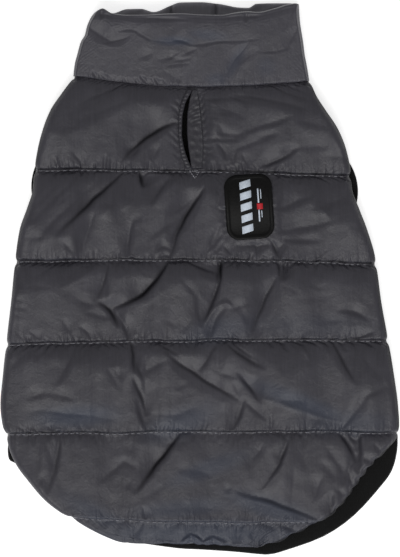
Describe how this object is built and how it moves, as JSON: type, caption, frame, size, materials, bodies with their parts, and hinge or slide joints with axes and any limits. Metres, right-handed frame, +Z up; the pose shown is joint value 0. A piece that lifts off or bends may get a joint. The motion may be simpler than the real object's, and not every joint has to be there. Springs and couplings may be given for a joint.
{
  "type": "dog winter coat",
  "caption": "Quilted padded dog coat laid flat, back up: channelled back panel, stand collar, leash slit, patch, bound armholes and a curved tail hem.",
  "frame": {"origin": "centre of the coat's box in plan, on the surface it lies on", "axes": "+Y from the tail hem to the collar, +X to the right as seen from above with the collar away, +Z up out of the back panel"},
  "size_m": [0.2508, 0.3496, 0.0196],
  "materials": {
    "quilted_shell": "semi-gloss woven nylon over padding, charcoal grey",
    "collar_shell": "semi-gloss woven nylon, doubled, charcoal grey",
    "belly_cloth": "matt black knit",
    "lining_cloth": "matt black brushed knit",
    "binding_rib": "matt black elastic rib",
    "welt_shell": "semi-gloss woven nylon, folded, charcoal grey",
    "patch_black": "satin black, with a white and red stripe print"
  },
  "bodies": {
    "root": {"back_panel": "quilted_shell", "collar": "collar_shell", "belly_panel": "belly_cloth", "tail_lining": "lining_cloth", "armhole_binding_left": "binding_rib", "armhole_binding_right": "binding_rib", "leash_slit_welt_left": "welt_shell", "leash_slit_welt_right": "welt_shell", "patch": "patch_black"}
  },
  "joints": []
}
